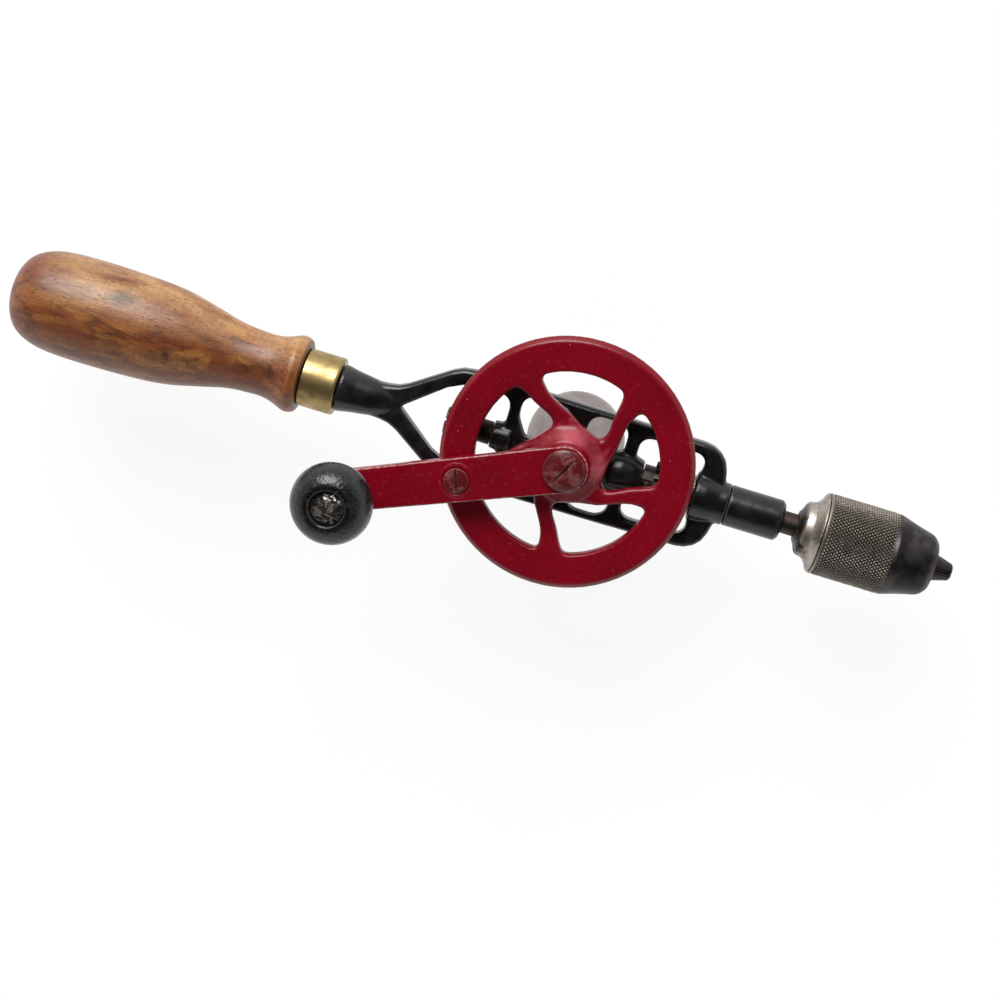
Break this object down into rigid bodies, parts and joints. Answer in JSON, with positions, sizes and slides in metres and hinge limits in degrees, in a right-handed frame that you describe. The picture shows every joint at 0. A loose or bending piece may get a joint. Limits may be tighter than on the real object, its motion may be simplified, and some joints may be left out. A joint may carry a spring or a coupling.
{
  "type": "hand drill",
  "caption": "Hand-cranked drill with a turned wooden handle, pierced iron frame, red geared drive wheel with crank and knob, side handle and keyless chuck.",
  "frame": {"origin": "centre of the flat end of the side handle, on which the drill stands", "axes": "+X along the spindle from the handle to the chuck, +Y up in the usual side view, +Z along the wheel's axle towards the crank"},
  "size_m": [0.3348, 0.0864, 0.092],
  "materials": {
    "black_enamel": "gloss black enamel on cast iron, worn at the edges",
    "red_enamel": "gloss dark red enamel on iron, lightly chipped",
    "painted_screw": "steel screw with worn red paint",
    "varnished_beech": "varnished beech, satin, with dark marks",
    "black_knob": "turned wood painted black, satin, worn grey",
    "brass": "satin brass",
    "bronze": "plain bearing bronze",
    "bare_steel": "turned steel, dulled",
    "rusted_steel": "dark rusted steel",
    "blued_steel": "dark hardened steel",
    "satin_aluminium": "satin turned aluminium"
  },
  "bodies": {
    "frame": {"frame": "black_enamel", "handle": "varnished_beech", "handle_ferrule": "brass", "handle_tang": "bare_steel", "wheel_axle": "bare_steel", "hub_screw": "painted_screw", "idler_stud": "bare_steel", "rear_spindle_bush": "bronze", "front_spindle_bush": "bronze", "bearing_sleeve": "black_enamel", "side_handle": "satin_aluminium", "side_handle_stud": "bare_steel"},
    "drive_wheel": {"drive_wheel": "red_enamel", "wheel_bush": "brass", "crank_arm": "red_enamel", "arm_screw": "painted_screw", "knob_pin": "rusted_steel"},
    "crank_knob": {"crank_knob": "black_knob"},
    "spindle": {"spindle": "bare_steel", "spindle_pinion": "bare_steel", "pinion_pin": "bare_steel", "thrust_washer": "bare_steel", "chuck_body": "bare_steel", "jaw_spring": "bare_steel"},
    "idler": {"idler_pinion": "bare_steel"},
    "chuck_shell": {"chuck_shell": "bare_steel"},
    "chuck_jaw_1": {"chuck_jaw_1": "blued_steel"},
    "chuck_jaw_2": {"chuck_jaw_2": "blued_steel"},
    "chuck_jaw_3": {"chuck_jaw_3": "blued_steel"}
  },
  "joints": [
    {"name": "wheel_spin", "type": "hinge", "parent": "frame", "child": "drive_wheel", "pos_m": [0, 0, 0.042], "axis": [0, 0, 1], "continuous": true},
    {"name": "knob_spin", "type": "hinge", "parent": "drive_wheel", "child": "crank_knob", "pos_m": [-0.069, -0.02915, 0.042], "axis": [0, 0, 1], "continuous": true},
    {"name": "spindle_spin", "type": "hinge", "parent": "frame", "child": "spindle", "pos_m": [0, 0, 0.042], "axis": [1, 0, 0], "continuous": true},
    {"name": "idler_spin", "type": "hinge", "parent": "frame", "child": "idler", "pos_m": [0, 0, 0.042], "axis": [1, 0, 0], "continuous": true},
    {"name": "chuck_shell_turn", "type": "hinge", "parent": "spindle", "child": "chuck_shell", "pos_m": [0, 0, 0.042], "axis": [1, 0, 0], "range_deg": [0, 1440]},
    {"name": "jaw_1_slide", "type": "slide", "parent": "spindle", "child": "chuck_jaw_1", "axis": [-0.9583, 0, -0.2857], "range_m": [0, 0.0083]},
    {"name": "jaw_2_slide", "type": "slide", "parent": "spindle", "child": "chuck_jaw_2", "axis": [-0.9583, 0.2474, 0.1428], "range_m": [0, 0.0083]},
    {"name": "jaw_3_slide", "type": "slide", "parent": "spindle", "child": "chuck_jaw_3", "axis": [-0.9583, -0.2474, 0.1428], "range_m": [0, 0.0083]}
  ],
  "couplings": [
    {"joint": "spindle_spin", "follows": "wheel_spin", "ratio": -4.5},
    {"joint": "idler_spin", "follows": "wheel_spin", "ratio": 4.5},
    {"joint": "jaw_1_slide", "follows": "chuck_shell_turn", "m_per_rad": 0.00033021},
    {"joint": "jaw_2_slide", "follows": "chuck_shell_turn", "m_per_rad": 0.00033021},
    {"joint": "jaw_3_slide", "follows": "chuck_shell_turn", "m_per_rad": 0.00033021}
  ]
}
